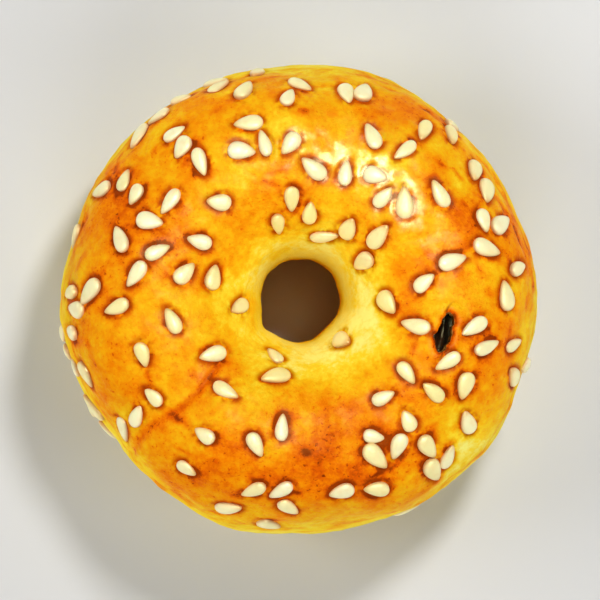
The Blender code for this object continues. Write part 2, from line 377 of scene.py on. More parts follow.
# The studio: (name, angle round from +X, angle above the floor, distance, size, power, what it lights)
LIGHTS = (
    ("key", 62, 54, 0.35, 0.07, 0.83, "DIFFUSE"),
    ("gloss", 62, 81, 0.35, 0.15, 4.80, "GLOSS"),
    ("fill_left", 176, 26, 0.70, 0.40, 2.50, "DIFFUSE"),
    ("fill_right", -25, 26, 0.70, 0.40, 1.20, "DIFFUSE"),
    ("fill_near", -92, 26, 0.70, 0.40, 2.20, "DIFFUSE"),
)
GLOSS_COLOUR = (1.0, 0.97, 0.50)
WORLD_STRENGTH = 0.05
FLOOR_SIZE = 3.0
FLOOR_HEIGHT = -0.00003
FLOOR_COLOURS = ((0.67, 0.67, 0.66), (0.70, 0.70, 0.69))
FLOOR_NOISE = (0.04, 3)

# The camera looks almost straight down, with +Y upwards in the picture
CAMERA_AROUND = 207
CAMERA_ABOVE = 86.9
CAMERA_DISTANCE = 0.5
VIEW_WIDTH = 0.070
SENSOR_WIDTH = 36


def waves(angle, terms):
    """The sum of cosine waves round an angle, given as (share, turns, start) each."""
    return sum(share * np.cos(turns * angle + start) for share, turns, start in terms)


def ripple(angle, share, turns, start):
    return share * np.sin(turns * angle + start)


def signed_power(value, exponent):
    return np.sign(value) * np.abs(value) ** exponent


def join_pinch(around):
    """1 where the rope's ends meet, falling to 0 on either side."""
    away = (around - JOIN_ANGLE + math.pi) % TURN - math.pi
    return np.exp(-((away / JOIN_WIDTH) ** 2))


def ring_point(around, section, rounding=0.0):
    """Points on the outside of the dough, as an array whose last axis is X, Y, Z."""
    across = np.cos(section)
    up = np.sin(section)
    pinch = join_pinch(around)
    half_width = HALF_WIDTH * (1 + waves(around, WIDTH_WAVES) - JOIN_NARROWING * pinch)
    crown = HEIGHT * (1 + waves(around, CROWN_WAVES) - JOIN_DIP * pinch)
    over_waist = (crown - WAIST_HEIGHT) * signed_power(up, 2 / CROWN_FULLNESS)
    under_waist = (WAIST_HEIGHT + BASE_CUT) * signed_power(up, 2 / BASE_FULLNESS)
    fullness = np.where(up > 0, CROWN_FULLNESS, BASE_FULLNESS)
    lump = sum(
        height * np.sin(turns * around + folds * section + start)
        for height, turns, folds, start in LUMPS
    )
    radius = MIDDLE_RADIUS + half_width * signed_power(across, 2 / fullness)
    lump = lump * radius / (OUTER_DIAMETER / 2)
    radius = radius + lump * across
    height = WAIST_HEIGHT + np.where(up > 0, over_waist, under_waist) + lump * up
    height = (height + np.sqrt(height**2 + rounding**2)) / 2
    return np.stack((radius * np.cos(around), radius * np.sin(around), height), axis=-1)


def paste_point(around, section, gap=0.0):
    """Points on the rope of date paste, or on the hollow round it when there is a gap."""
    pinch = join_pinch(around)
    radius = MIDDLE_RADIUS + (PASTE_HALF_WIDTH * (1 - JOIN_NARROWING * pinch) + gap) * np.cos(section)
    height = PASTE_MIDDLE_HEIGHT + (PASTE_HALF_HEIGHT * (1 - JOIN_DIP * pinch) + gap) * np.sin(section)
    return np.stack((radius * np.cos(around), radius * np.sin(around), height), axis=-1)


def surface_axes(around, section):
    """A point of the surface, and the ways along the ring, round the section and out of the dough."""
    on_around = ring_point(around + SLOPE_STEP, section) - ring_point(around - SLOPE_STEP, section)
    on_section = ring_point(around, section + SLOPE_STEP) - ring_point(around, section - SLOPE_STEP)
    along = Vector(on_around).normalized()
    outward = along.cross(Vector(on_section)).normalized()
    return Vector(ring_point(around, section)), along, outward.cross(along), outward


def split_halves():
    """The middles of the split's two halves, on the crown."""
    ends = []
    for side in (-1, 1):
        around = SPLIT_ANGLE + side * SPLIT_LENGTH / 4 / SPLIT_RADIUS
        ends.append(Vector((SPLIT_RADIUS * math.cos(around), SPLIT_RADIUS * math.sin(around), HEIGHT)))
    return ends


def seed_halves(around, section, heading):
    """The middles of a seed's two halves, on the surface."""
    place, along, across, _ = surface_axes(around, section)
    reach = (along * math.cos(heading) + across * math.sin(heading)) * SEED_LENGTH / 4
    return [place + reach, place - reach]


def seed_spots():
    """(angle round the ring, angle round the section, heading, size) of each seed."""
    spots = []
    halves = []
    for along, outwards, heading in SEEDS_BY_SPLIT:
        around = SPLIT_ANGLE + along / SPLIT_RADIUS
        section = math.acos((SPLIT_RADIUS + outwards - MIDDLE_RADIUS) / HALF_WIDTH)
        spots.append((around, section, math.radians(heading), 1.0))
        halves += seed_halves(*spots[-1][:3])
    draw = random.Random(SEED_DRAW)
    lowest = math.radians(SEED_SECTION_DEGREES[0])
    highest = math.radians(SEED_SECTION_DEGREES[-1])
    while len(spots) < SEED_COUNT:
        around = draw.uniform(0, TURN)
        section = draw.uniform(lowest, highest)
        heading = draw.uniform(0, TURN)
        size = draw.uniform(*SEED_SIZES)
        luck = draw.random()
        pair = seed_halves(around, section, heading)
        share = np.interp(math.degrees(section), SEED_SECTION_DEGREES, SEED_SECTION_SHARES)
        if luck > share * pair[0].xy.length / (OUTER_DIAMETER / 2):
            continue
        if min((half - end).length for half in pair for end in split_halves()) < SPLIT_CLEARANCE:
            continue
        if min((half - other).length for half in pair for other in halves) < SEED_SPACING:
            continue
        spots.append((around, section, heading, size))
        halves += pair
    return spots


def seed_width_at(along):
    """Half width of a seed as a share of the widest, from its round end at -1 to its point at 1."""
    return np.sqrt(np.maximum(1 - along * along, 0)) * (1 - SEED_POINTEDNESS * along)


def seed_places():
    """The matrix that lays each seed on the baked dough, with its length, width and size in it."""
    tilts = random.Random(SEED_DRAW + 1)
    shares = random.Random(SEED_SHARES_DRAW)
    places = []
    for around, section, heading, size in seed_spots():
        place, along, across, outward = surface_axes(around, section)
        place = place + outward * float(swell(np.array([place]))[0])
        axes = Matrix((along, across, outward)).transposed().to_4x4()
        tilt = Matrix.Rotation(tilts.uniform(-SEED_TILT, SEED_TILT), 4, "Y")
        stand = Matrix.Translation(place - outward * SEED_SUNK)
        length = size * shares.uniform(*SEED_LENGTHS)
        width = size * shares.uniform(*SEED_WIDTHS)
        scale = Matrix.Diagonal((length, width, size, 1))
        places.append(stand @ axes @ Matrix.Rotation(heading, 4, "Z") @ tilt @ scale)
    return places


def fractal(points, size, seed, octaves=NOISE_OCTAVES):
    """Smooth noise, mostly between -1 and 1, whose largest lumps are about size across."""
    shift = Vector([seed * each for each in NOISE_SHIFTS])
    settings = (NOISE_ROUGHNESS, NOISE_FINENESS, octaves)
    return np.array([noise.fractal(Vector(point) / size + shift, *settings) for point in points])


def bell(away, width):
    return np.exp(-((away / width) ** 2))


def smooth(value, low, high):
    """0 below low, 1 above high, and a soft step between them."""
    share = np.clip((value - low) / (high - low), 0, 1)
    return share * share * (3 - 2 * share)


def wrapped(angle):
    return (angle + math.pi) % TURN - math.pi


def surface_normals(around, section):
    """Unit vectors out of the dough."""
    before = ring_point(around - NORMAL_STEP, section, BASE_ROUNDING)
    after = ring_point(around + NORMAL_STEP, section, BASE_ROUNDING)
    under = ring_point(around, section - NORMAL_STEP, BASE_ROUNDING)
    over = ring_point(around, section + NORMAL_STEP, BASE_ROUNDING)
    out = np.cross(after - before, over - under)
    return out / np.linalg.norm(out, axis=-1, keepdims=True)


def lap_away(around, section, points):
    """Signed distance along the ring from the seam where the rope's ends lap over each other."""
    seam = JOIN_ANGLE + sum(ripple(section, *bend) for bend in LAP_BENDS)
    return wrapped(around - seam) * np.hypot(points[:, 0], points[:, 1])


def wrinkle_strength(around, section, points):
    """How deep in a crease of the shoulder each point lies, from 0 to 1."""
    wander = WRINKLE_WANDER * fractal(points, *WRINKLE_WANDER_NOISE)
    broken = smooth(fractal(points, *WRINKLE_BREAK_NOISE), *WRINKLE_BREAK)
    deepest = np.zeros(len(points))
    section = wrapped(section)
    for start, end, low, high in np.radians(WRINKLES):
        share = wrapped(around - start) / wrapped(end - start)
        line = low + (high - low) * share + wander
        away = (section - line) * HALF_WIDTH
        fade = smooth(share, 0, WRINKLE_FADE) * smooth(1 - share, 0, WRINKLE_FADE)
        deepest = np.maximum(deepest, fade * bell(away, WRINKLE_WIDTH))
    return deepest * broken


def scorch_strength(around, section, points):
    """How dark the small smears of the shoulder are at each point, from 0 to 1."""
    draw = random.Random(SCORCH_DRAW)
    darkest = np.zeros(len(points))
    section = wrapped(section)
    radius = np.hypot(points[:, 0], points[:, 1])
    for _ in range(SCORCH_COUNT):
        middle = math.radians(draw.uniform(0, 360))
        height = math.radians(draw.triangular(*SCORCH_DEGREES))
        length = draw.uniform(*SCORCH_LENGTHS) / 2
        width = draw.uniform(*SCORCH_WIDTHS) / 2
        slant = draw.uniform(-SCORCH_SLANT, SCORCH_SLANT)
        share = draw.uniform(*SCORCH_SHARES)
        along = wrapped(around - middle) * radius
        across = (section - height) * HALF_WIDTH - slant * along
        darkest = np.maximum(darkest, share * bell(along, length) * bell(across, width))
    return darkest


def tear_strength(points):
    """How deep in the hairline cracks that run on from the split's tips each point lies, from 0 to 1."""
    across, along = split_local(points)
    past = np.abs(along) - SPLIT_LENGTH / 2
    line = TEAR_SWAY * np.sin(along / TEAR_SWAY_LENGTH) + TEAR_LEAN * past * np.sign(along)
    fade = smooth(past, *TEAR_START) * smooth(-past, -TEAR_LENGTH, 0)
    return fade * bell(across - line, TEAR_WIDTH) * (points[:, 2] > WAIST_HEIGHT)


def near_place(points, place, reach):
    """The numbers of the points that lie within reach of a seed's middle."""
    return np.flatnonzero(np.linalg.norm(points - np.array(place.translation), axis=1) < reach)


def local_points(points, place):
    """The points as seen from a seed: along it, across it and out of the dough."""
    back = np.array(place.inverted())
    return points @ back[:3, :3].T + back[:3, 3]


def seed_gaps(points, places):
    """Distance from each point to the outline of the nearest seed, less than 0 under a seed."""
    gaps = np.full(len(points), FAR_FROM_SEEDS)
    turned = even_angles(0, SEED_OUTLINE_STEPS)
    along = np.cos(turned)
    half_width = np.sign(np.sin(turned)) * seed_width_at(along) * SEED_WIDTH / 2
    outline = np.stack((along * SEED_LENGTH / 2, half_width), axis=1)
    for place in places:
        near = near_place(points, place, SEED_REACH)
        scale = np.array(place.to_scale())[:2]
        local = local_points(points[near], place)
        reach = np.linalg.norm((local[:, None, :2] - outline[None]) * scale, axis=2).min(axis=1)
        lengthways = local[:, 0] / (SEED_LENGTH / 2)
        inside = np.abs(local[:, 1]) < seed_width_at(np.clip(lengthways, -1, 1)) * SEED_WIDTH / 2
        inside &= np.abs(lengthways) < 1
        gaps[near] = np.minimum(gaps[near], np.where(inside, -reach, reach))
    return gaps


def pool_and_shadow_strength(points, places):
    """How dark the mark along one side of some seeds is, from 0 to 1: glaze that pooled and caramelised
    there, with a painted shadow of the seed.
    """
    draw = random.Random(SCORCH_DRAW + 1)
    darkest = np.zeros(len(points))
    for place in places:
        chosen = draw.random() < POOL_AND_SHADOW_SHARE
        side = draw.choice((-1, 1))
        shift = draw.uniform(-POOL_AND_SHADOW_SHIFT, POOL_AND_SHADOW_SHIFT) * SEED_LENGTH
        length = draw.uniform(*POOL_AND_SHADOW_LENGTHS)
        width = draw.uniform(*POOL_AND_SHADOW_WIDTHS)
        share = draw.uniform(*POOL_AND_SHADOW_SHARES)
        if not chosen:
            continue
        near = near_place(points, place, POOL_AND_SHADOW_REACH)
        local = local_points(points[near], place)
        along = local[:, 0] - shift
        across = local[:, 1] - side * SEED_WIDTH * POOL_AND_SHADOW_SIDE
        pool_and_shadow = share * bell(along, length) * bell(across, width)
        darkest[near] = np.maximum(darkest[near], pool_and_shadow)
    return darkest


def split_local(points):
    """Places across and along the split, in metres from its middle."""
    right, up = math.cos(SPLIT_HEADING), math.sin(SPLIT_HEADING)
    x, y = (points[:, :2] - SPLIT_MIDDLE).T
    return x * right + y * up, -x * up + y * right


def split_world(across, along):
    """X and Y of places across and along the split."""
    right, up = math.cos(SPLIT_HEADING), math.sin(SPLIT_HEADING)
    x = across * right - along * up
    y = across * up + along * right
    return np.stack((x + SPLIT_MIDDLE[0], y + SPLIT_MIDDLE[1]), axis=-1)


def split_outline(turned):
    """The torn edge, across and along the split, at angles counted from its tip towards the outside."""
    half_width = SPLIT_WIDTH / 2 * (SPLIT_FULLNESS + ripple(turned, *SPLIT_BULGE))
    half_width = half_width * (1 + sum(ripple(turned, *teeth) for teeth in SPLIT_TEETH))
    sway = ripple(np.cos(turned), SPLIT_SWAY, SPLIT_SWAY_TURNS, SPLIT_SWAY_START)
    across = half_width * np.sin(turned) + sway
    along = SPLIT_LENGTH / 2 * np.cos(turned) * (1 + ripple(turned, *SPLIT_END_WAVE))
    return across, along


def section_at(xy):
    """The angle round the section of the crown's point over each X, Y, found by halving."""
    around = np.arctan2(xy[:, 1], xy[:, 0])
    wanted = np.hypot(xy[:, 0], xy[:, 1])
    outer, inner = (np.full(len(xy), math.radians(degrees)) for degrees in CROWN_DEGREES)
    for _ in range(HALVINGS):
        middle = (outer + inner) / 2
        points = ring_point(around, middle, BASE_ROUNDING)
        too_far = np.hypot(points[:, 0], points[:, 1]) > wanted
        outer = np.where(too_far, middle, outer)
        inner = np.where(too_far, inner, middle)
    return around, (outer + inner) / 2


def swell(points):
    """Height of the soft unevenness that baking gives the surface."""
    return sum(height * fractal(points, size, seed, NOISE_FEW_OCTAVES) for height, size, seed in SWELLS)


def angles_of(start, spans):
    """Angles in radians, from start on, as (degrees at the end, steps) for each span."""
    angles = []
    for end, steps in spans:
        angles += [start + (end - start) * step / steps for step in range(steps)]
        start = end
    return np.radians(angles)


def even_angles(start, count):
    return start + TURN * np.arange(count) / count


def grid_of(rings, rows):
    """Angles round the ring and round the section of each point of a grid, section by section."""
    return np.repeat(rings, len(rows)), np.tile(rows, len(rings))


def grid_faces(ring_count, row_count, first=0, skipped=()):
    """Faces of a closed grid, without the skipped (ring, row) cells."""
    skipped = set(skipped)
    faces = []
    for ring in range(ring_count):
        here = first + ring * row_count
        there = first + (ring + 1) % ring_count * row_count
        for row in range(row_count):
            if (ring, row) not in skipped:
                after = (row + 1) % row_count
                faces.append((here + row, there + row, there + after, here + after))
    return faces


def window_of(ring_count, row_count, middle_row, reach, first=0):
    """The cells of a grid round its first ring and a middle row, and the loop of points round them."""
    wide, high = 2 * reach[0], 2 * reach[1]
    rings = [(ring - reach[0]) % ring_count for ring in range(wide + 1)]
    low = middle_row - reach[1]
    cells = [(ring, low + row) for ring in rings[:-1] for row in range(high)]
    loop = [(ring, 0) for ring in rings[:-1]] + [(rings[-1], row) for row in range(high)]
    loop += [(ring, high) for ring in rings[:0:-1]] + [(rings[0], high - row) for row in range(high)]
    return cells, [first + ring * row_count + low + row for ring, row in loop]


def band_faces(few, many):
    """Faces from a loop of points to one that has a whole number of times as many."""
    ratio = len(many) // len(few)
    faces = []
    for number, here in enumerate(few):
        after = few[(number + 1) % len(few)]
        fan = [many[(number * ratio + step) % len(many)] for step in range(ratio + 1)]
        if ratio == 1:
            faces.append((here, after, fan[1], fan[0]))
            continue
        half = ratio // 2
        faces += [(here, fan[step + 1], fan[step]) for step in range(half)]
        faces.append((here, after, fan[half]))
        faces += [(after, fan[step + 1], fan[step]) for step in range(half, ratio)]
    return faces


def split_distance(points):
    """Distance in plan from each point to the torn edge."""
    across, along = split_local(points)
    edge = np.stack(split_outline(even_angles(0, SPLIT_EDGE_STEPS)), axis=1)
    away = np.full(len(points), FAR_FROM_SPLIT)
    near = np.flatnonzero((np.hypot(across, along) < SPLIT_REACH) & (points[:, 2] > PASTE_MIDDLE_HEIGHT))
    here = np.stack((across[near], along[near]), axis=1)
    away[near] = np.linalg.norm(here[:, None] - edge[None], axis=2).min(axis=1)
    return away


def crust(around, section, places):
    """Points of the baked outside, and what the material needs to know about each of them."""
    plain = ring_point(around, section, BASE_ROUNDING)
    gaps = seed_gaps(plain, places)
    wrinkles = wrinkle_strength(around, section, plain)
    tears = tear_strength(plain)
    edge_away = split_distance(plain)
    lap = lap_away(around, section, plain)
    lap_fade = smooth(np.cos(section), *LAP_FADE)
    swelling = swell(plain)

    out = swelling - WRINKLE_DEPTH * wrinkles - TEAR_DEPTH * tears
    out = out - LAP_DEPTH * bell(lap, LAP_WIDTH) * lap_fade
    out = out + LAP_STEP * smooth(lap, 0, LAP_STEP_FRONT) * np.exp(-np.abs(lap) / LAP_STEP_BACK) * lap_fade
    out = out - SEED_MOAT * bell(np.maximum(gaps, 0), SEED_MOAT_WIDTH)
    out = out * smooth(plain[:, 2], *UNDERSIDE_FADE)
    out = out + LIP_RISE * bell(edge_away - LIP_BACK, LIP_WIDTH) - LIP_ROLL * bell(edge_away, LIP_ROLL_WIDTH)
    points = plain + out[:, None] * surface_normals(around, section)
    points[:, 2] = np.maximum(points[:, 2], 0)

    degrees = np.degrees(section + math.pi / 2) % 360 - 90
    wander = GLAZE_WANDER * fractal(plain, GLAZE_WANDER_SIZE, GLAZE_WANDER_DRAW)
    glaze = smooth(degrees + wander, *GLAZE_OUTSIDE) * smooth(-degrees - wander, *GLAZE_INSIDE)
    shine = glaze * smooth(degrees, *SHINE_OUTSIDE) * (1 - SHINE_LOST_INSIDE * smooth(degrees, *SHINE_INSIDE))
    thick = bell(wrapped(around - SHINE_ANGLE), SHINE_REACH)
    shine = shine * (SHINE_ELSEWHERE + (1 - SHINE_ELSEWHERE) * thick)
    # Browning, to which painted shade in the hole, painted shadows beside some seeds and a painted highlight
    # are added
    brown_and_painted_light = np.interp(degrees, BROWNING_DEGREES, BROWNING_AND_HOLE_SHADE_SHARES)
    patchy = sum(share * fractal(plain, size, seed) for share, size, seed in BROWNING_NOISE)
    brown_and_painted_light = brown_and_painted_light + patchy * (PALE_PATCHINESS + (1 - PALE_PATCHINESS) * glaze)
    brown_and_painted_light = brown_and_painted_light + BROWNING_BY_HEIGHT * swelling
    # Patches of browning; the pale ones under the gleam paint a highlight
    for patch_around, patch_section, size, share in BROWN_AND_HIGHLIGHT_PATCHES:
        centre = ring_point(np.radians(patch_around), np.radians(patch_section))
        brown_and_painted_light = brown_and_painted_light + share * bell(np.linalg.norm(plain - centre, axis=1), size)
    flecks = smooth(fractal(plain * FLECK_FLATTENING, FLECK_SIZE, FLECK_DRAW), *FLECK_SPAN)
    glaze_edge = bell(degrees + wander - GLAZE_EDGE_MIDDLE, GLAZE_EDGE_WIDTH)
    brown_and_painted_light = brown_and_painted_light + GLAZE_EDGE_BROWN * glaze_edge * flecks
    brown_and_painted_light = brown_and_painted_light + LAP_BROWN * bell(lap, LAP_BROWN_WIDTH) * lap_fade * glaze
    brown_and_painted_light = brown_and_painted_light + LIP_BROWN * bell(edge_away, LIP_BROWN_WIDTH) + WRINKLE_BROWN * wrinkles
    brown_and_painted_light = brown_and_painted_light + SCORCH_BROWN * scorch_strength(around, section, plain)
    # Pooled glaze with a painted shadow beside some seeds
    brown_and_painted_light = brown_and_painted_light + POOL_AND_SHADOW_BROWN * pool_and_shadow_strength(plain, places) * glaze
    return points, {
        "browning_and_painted_light": np.clip(brown_and_painted_light, 0, 1),
        "glaze": glaze,
        "shine": shine,
        # Halos of browning and painted contact shade round the seeds
        "seed_halo_shade": bell(np.maximum(gaps, 0), HALO_SHADE_WIDTH),
        # Painted shade in the hairline cracks
        "crack_shade": tears,
        "inside": np.zeros(len(points)),
    }


def roof_height(xy):
    """Height of the hollow's roof over each X, Y."""
    away = (np.hypot(xy[:, 0], xy[:, 1]) - MIDDLE_RADIUS) / (PASTE_HALF_WIDTH + PASTE_GAP)
    return PASTE_MIDDLE_HEIGHT + (PASTE_HALF_HEIGHT + PASTE_GAP) * np.sqrt(np.clip(1 - away * away, 0, 1))


def split_rings(border):
    """Plan places of the rings between the mesh's window and the torn edge, the edge itself last."""
    across, along = split_local(border)
    turned = np.unwrap(np.arctan2(across / np.abs(across).max(), along / np.abs(along).max()))
    following = np.append(turned[1:], turned[0] + TURN * np.sign(turned[-1] - turned[0]))
    turned = np.stack((turned, (turned + following) / 2), axis=1).ravel()
    border = np.stack((border, (border + np.roll(border, -1, axis=0)) / 2), axis=1).reshape(-1, 3)[:, :2]
    edge = split_world(*split_outline(turned))
    shares = 1 - (1 - np.arange(1, SPLIT_RINGS + 1) / SPLIT_RINGS) ** SPLIT_CROWDING
    return [border + share * (edge - border) for share in shares]


def wall_rings(edge):
    """The torn walls, from the edge down to the hollow's roof."""
    outward = (edge[:, :2] - split_world(0, 0)) / SPLIT_WIDTH
    depth = edge[:, 2] - roof_height(edge[:, :2])
    rings = []
    for step in range(1, WALL_RINGS + 1):
        share = step / WALL_RINGS
        ring = np.column_stack((edge[:, :2], edge[:, 2] - depth * share))
        rough = TORN_DEPTH * fractal(ring, TORN_SIZE, TORN_DRAW) * math.sin(math.pi * share)
        ring[:, :2] += rough[:, None] * outward
        rings.append(ring)
    return rings


def solid_of(name, points, faces, values, material):
    """An object of one closed mesh, smooth, facing out, with a number at each point for each named value."""
    data = bpy.data.meshes.new(name)
    data.from_pydata(points, [], faces)
    for label, numbers in values.items():
        attribute = data.attributes.new(label, "FLOAT", "POINT")
        attribute.data.foreach_set("value", np.asarray(numbers, dtype=np.float32))
    bm = bmesh.new()
    bm.from_mesh(data)
    bmesh.ops.recalc_face_normals(bm, faces=bm.faces)
    bm.to_mesh(data)
    bm.free()
    data.shade_smooth()
    data.materials.append(material)
    obj = bpy.data.objects.new(name, data)
    bpy.context.scene.collection.objects.link(obj)
    return obj


def build_dough(places, material):
    """The baked ring: its outside, with a window for the split, the split's torn walls and the hollow."""
    rings = even_angles(SPLIT_ANGLE, RING_STEPS)
    rows = angles_of(SECTION_START, SECTION_SPANS)
    points, values = crust(*grid_of(rings, rows), places)
    split_section = section_at(split_world(0, 0)[None])[1][0]
    middle_row = int(np.abs(rows - split_section).argmin())
    cells, loop = window_of(RING_STEPS, len(rows), middle_row, (WINDOW_AROUND, WINDOW_SECTION))
    faces = grid_faces(RING_STEPS, len(rows), skipped=cells)

    border = ring_point(*(angles[loop] for angles in grid_of(rings, rows)), BASE_ROUNDING)
    for plan in split_rings(border):
        ring, ring_values = crust(*section_at(plan), places)
        fresh = list(range(len(points), len(points) + len(ring)))
        faces += band_faces(loop, fresh)
        points = np.concatenate((points, ring))
        values = {label: np.concatenate((values[label], ring_values[label])) for label in values}
        loop = fresh
    for ring in wall_rings(points[loop]):
        fresh = list(range(len(points), len(points) + len(ring)))
        faces += band_faces(loop, fresh)
        points = np.concatenate((points, ring))
        values = {label: np.append(values[label], np.full(len(ring), label == "inside")) for label in values}
        loop = fresh

    hollow_rows = even_angles(0, HOLLOW_SECTION_STEPS)
    hollow = paste_point(*grid_of(even_angles(SPLIT_ANGLE, HOLLOW_RING_STEPS), hollow_rows), PASTE_GAP)
    sizes = (HOLLOW_RING_STEPS, HOLLOW_SECTION_STEPS)
    cells, roof = window_of(*sizes, HOLLOW_SECTION_STEPS // 4, HOLLOW_WINDOW, len(points))
    faces += grid_faces(*sizes, len(points), cells)
    faces += band_faces(roof, loop)
    points = np.concatenate((points, hollow))
    values = {label: np.append(values[label], np.full(len(hollow), label == "inside")) for label in values}
    return solid_of("baked_dough", points, faces, values, material)


def build_paste(material):
    """The rope of date paste, which rises a little into the split."""
    rings = angles_of(PASTE_RING_START, PASTE_RING_SPANS)
    rows = angles_of(PASTE_SECTION_START, PASTE_SECTION_SPANS)
    around, section = grid_of(rings, rows)
    points = paste_point(around, section)
    across, along = split_local(points)
    up = np.sin(section) > 0
    rise = PASTE_RISE * bell(along, PASTE_RISE_LENGTH) * bell(across, PASTE_RISE_WIDTH) * up
    rough = PASTE_ROUGH * (fractal(points, PASTE_ROUGH_SIZE, PASTE_ROUGH_DRAW) - PASTE_ROUGH_SUNK)
    outward = paste_point(around, section, MM) - points
    points = points + rough[:, None] * outward / MM
    points[:, 2] += rise
    return solid_of("date_core", points, grid_faces(len(rings), len(rows)), {}, material)


def seed_shape():
    """A flat drop lying along X, with a rounded top, how near each point is to its tip, and how much painted
    shade each point gets low down on the seed's sides.
    """
    points = [(-1, 0, 0), (1, 0, 0)]
    for ring in range(SEED_RINGS):
        along = -math.cos(math.pi * (ring + 1) / (SEED_RINGS + 1))
        wide = seed_width_at(along)
        for side in range(SEED_SIDES):
            turned = TURN * side / SEED_SIDES
            thick = signed_power(math.sin(turned), SEED_FLATNESS)
            points.append((along, wide * math.cos(turned), wide**SEED_EDGE_FLATNESS * thick))
    points = np.array(points)
    tip = smooth(points[:, 0], *SEED_TIP_SPAN)
    margin_shade = smooth(-points[:, 2], *SEED_MARGIN_SHADE_SPAN)
    faces = []
    for side in range(SEED_SIDES):
        after = (side + 1) % SEED_SIDES
        last = 2 + (SEED_RINGS - 1) * SEED_SIDES
        faces += [(0, 2 + after, 2 + side), (1, last + side, last + after)]
        for ring in range(SEED_RINGS - 1):
            here = 2 + ring * SEED_SIDES
            there = here + SEED_SIDES
            faces.append((here + side, here + after, there + after, there + side))
    return points * (SEED_LENGTH / 2, SEED_WIDTH / 2, SEED_THICKNESS / 2), faces, tip, margin_shade


def build_seeds(places, material):
    """All the sesame seeds as one mesh, each a little different in thickness, bend and toast, with painted
    shade added to the seeds on the slope to the hole.
    """
    shape, shape_faces, tip, margin_shade = seed_shape()
    draw = random.Random(SEED_LOOKS)
    points = []
    faces = []
    toast_and_shade = []
    for number, place in enumerate(places):
        thickness = draw.uniform(*SEED_THICKNESSES)
        bend = draw.uniform(-SEED_BEND, SEED_BEND)
        seed = shape * (1, 1, thickness)
        seed[:, 1] += bend * (seed[:, 0] / SEED_LENGTH) ** 2 * SEED_LENGTH
        axes = np.array(place)
        points.append(seed @ axes[:3, :3].T + axes[:3, 3])
        faces += [tuple(corner + number * len(shape) for corner in face) for face in shape_faces]
        # Seeds on the slope to the hole get painted shade, a yellower tone, added to their toast
        low_down = smooth(-place.translation.xy.length, -SEED_SLOPE_RADII[0], -SEED_SLOPE_RADII[1])
        toasted_and_shaded = min(draw.betavariate(*SEED_TOAST) + SEED_SLOPE_SHADE * low_down, 1.0)
        toast_and_shade.append(np.full(len(shape), toasted_and_shaded))
    values = {
        "toast_and_shade": np.concatenate(toast_and_shade),
        "tip": np.tile(tip, len(places)),
        "margin_shade": np.tile(margin_shade, len(places)),
    }
    return solid_of("sesame_seeds", np.concatenate(points), faces, values, material)


class Shader:
    """A material's nodes, added one at a time and joined as they come."""

    def __init__(self, name):
        self.material = bpy.data.materials.new(name)
        self.material.use_nodes = True
        self.tree = self.material.node_tree
        self.surface = self.tree.nodes["Principled BSDF"]
        self.place = self.node("ShaderNodeTexCoord").outputs["Object"]

    def node(self, kind, links=None, **settings):
        made = self.tree.nodes.new(kind)
        for setting, value in settings.items():
            setattr(made, setting, value)
        for socket, value in (links or {}).items():
            self.join(value, made.inputs[socket])
        return made

    def join(self, value, socket):
        if isinstance(value, bpy.types.NodeSocket):
            self.tree.links.new(value, socket)
        else:
            socket.default_value = value

    def value(self, label):
        return self.node("ShaderNodeAttribute", attribute_name=label).outputs["Fac"]

    def noise(self, size, detail=2.0, roughness=0.5):
        """Noise from about 0.2 to 0.8, with its largest lumps about size across."""
        links = {"Vector": self.place, "Scale": 1 / size, "Detail": detail, "Roughness": roughness}
        return self.node("ShaderNodeTexNoise", links).outputs["Fac"]

    def cracks(self, size):
        """Distance to the lines of a net of cells about size across, as a share of that size."""
        links = {"Vector": self.place, "Scale": 1 / size}
        return self.node("ShaderNodeTexVoronoi", links, feature="DISTANCE_TO_EDGE").outputs["Distance"]

    def math(self, operation, *terms, clamp=False):
        made = self.node("ShaderNodeMath", dict(enumerate(terms)), operation=operation, use_clamp=clamp)
        return made.outputs[0]

    def span(self, value, low, high, to_low=0.0, to_high=1.0):
        """Value taken from low..high to another span, and kept inside it."""
        links = {"Value": value, "From Min": low, "From Max": high, "To Min": to_low, "To Max": to_high}
        return self.node("ShaderNodeMapRange", links, interpolation_type="SMOOTHSTEP").outputs["Result"]

    def mix(self, share, one, other):
        made = self.node("ShaderNodeMix", data_type="RGBA")
        for value, socket in ((share, made.inputs[0]), (one, made.inputs[6]), (other, made.inputs[7])):
            self.join(value, socket)
        return made.outputs[2]

    def ramp(self, value, stops):
        made = self.node("ShaderNodeValToRGB", {"Fac": value})
        elements = made.color_ramp.elements
        while len(elements) < len(stops):
            elements.new(0.5)
        for element, (position, colour) in zip(elements, stops):
            element.position = position
            element.color = (*colour, 1)
        return made.outputs["Color"]

    def bump(self, height, distance, strength, under=None):
        links = {"Height": height, "Distance": distance, "Strength": strength}
        if under:
            links["Normal"] = under
        return self.node("ShaderNodeBump", links).outputs["Normal"]

    def grain(self, layers):
        """Bumps one over the other, given as (noise settings, height in metres, strength) each."""
        normal = None
        for settings, distance, strength in layers:
            normal = self.bump(self.noise(*settings), distance, strength, normal)
        return normal

    def set(self, **values):
        for label, value in values.items():
            self.join(value, self.surface.inputs[label.replace("_", " ")])


def colour_of(red, green, blue):
    return (red, green, blue, 1)


